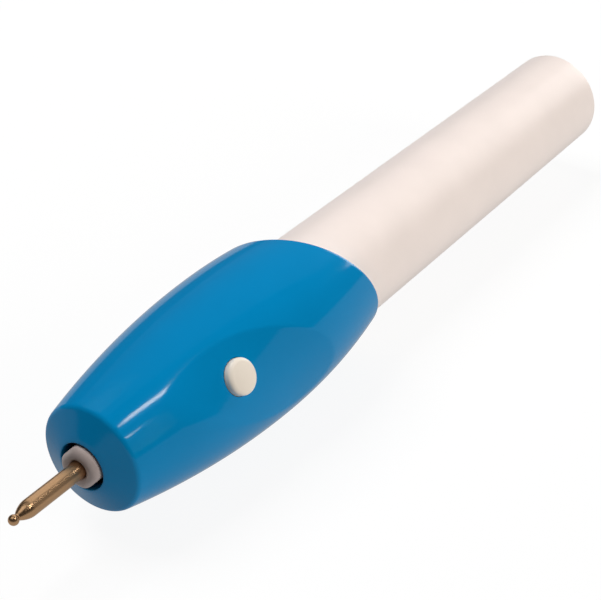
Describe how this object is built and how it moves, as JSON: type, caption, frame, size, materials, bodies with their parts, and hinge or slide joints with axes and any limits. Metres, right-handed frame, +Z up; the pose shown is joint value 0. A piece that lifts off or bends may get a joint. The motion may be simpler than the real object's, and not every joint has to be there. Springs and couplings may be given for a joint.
{
  "type": "engraving pen",
  "caption": "Battery-powered rotary engraving pen: ovoid grip with a push button and finger dish, tapering battery tube, and a ball-ended tip in a turning holder.",
  "frame": {"origin": "on the ground below the middle of the pen, with the barrel's widest part touching the ground", "axes": "Y along the pen with the tip at -Y, Z up; the button faces between +Z and +X, turned 63 degrees from straight up"},
  "size_m": [0.0278, 0.1678, 0.028],
  "materials": {
    "blue_gloss_plastic": "glossy moulded ABS",
    "white_plastic": "semi-gloss moulded plastic",
    "cream_plastic": "semi-gloss moulded plastic",
    "grey_plastic": "satin moulded plastic",
    "black_plastic": "moulded plastic",
    "gold_metal": "gold-coloured plated steel",
    "steel": "bright drawn steel",
    "bronze": "sintered bronze",
    "brass": "spring brass strip",
    "nickel": "nickel-plated steel",
    "ferrite": "bonded ferrite",
    "copper": "copper",
    "cell_jacket": "printed film jacket, left plain",
    "red_insulation": "wire insulation",
    "black_insulation": "wire insulation"
  },
  "bodies": {
    "handle": {"front_housing": "blue_gloss_plastic", "nose_bearing": "black_plastic", "chassis": "black_plastic", "switch_block": "black_plastic", "switch_contact_front": "brass", "switch_contact_rear": "brass", "button_spring": "steel", "motor_can": "steel", "magnet_left": "ferrite", "magnet_right": "ferrite", "motor_front_bush": "bronze", "motor_end_bell": "black_plastic", "motor_rear_bush": "bronze", "brush_upper": "copper", "brush_lower": "copper", "motor_terminal_upper": "nickel", "motor_terminal_lower": "nickel", "bulkhead": "black_plastic", "bulkhead_screw_left": "steel", "bulkhead_screw_right": "steel", "front_contact": "nickel", "return_contact": "nickel", "lead_switch_to_motor": "red_insulation", "lead_battery_to_switch": "red_insulation", "lead_motor_to_return": "black_insulation"},
    "spindle": {"tip_holder": "grey_plastic", "motor_shaft": "steel", "armature_core": "steel", "winding_1": "copper", "winding_2": "copper", "winding_3": "copper", "commutator": "copper"},
    "tip": {"engraving_tip": "gold_metal"},
    "button": {"button_cap": "cream_plastic", "contact_bridge": "brass"},
    "tube": {"battery_tube": "white_plastic", "cell_front": "cell_jacket", "cell_rear": "cell_jacket", "rear_spring": "nickel", "rear_plate": "nickel", "return_strip": "nickel"}
  },
  "joints": [
    {"name": "spindle_spin", "type": "hinge", "parent": "handle", "child": "spindle", "pos_m": [0, -0.04, 0.014], "axis": [0, 1, 0], "continuous": true},
    {"name": "tip_pull_out", "type": "slide", "parent": "spindle", "child": "tip", "axis": [0, -1, 0], "range_m": [0, 0.014]},
    {"name": "button_press", "type": "slide", "parent": "handle", "child": "button", "axis": [-0.891, 0, -0.454], "range_m": [0, 0.001], "stiffness_N_per_m": 600, "deforming": ["button_spring"]},
    {"name": "tube_pull_off", "type": "slide", "parent": "handle", "child": "tube", "axis": [0, 1, 0], "range_m": [0, 0.04]}
  ]
}
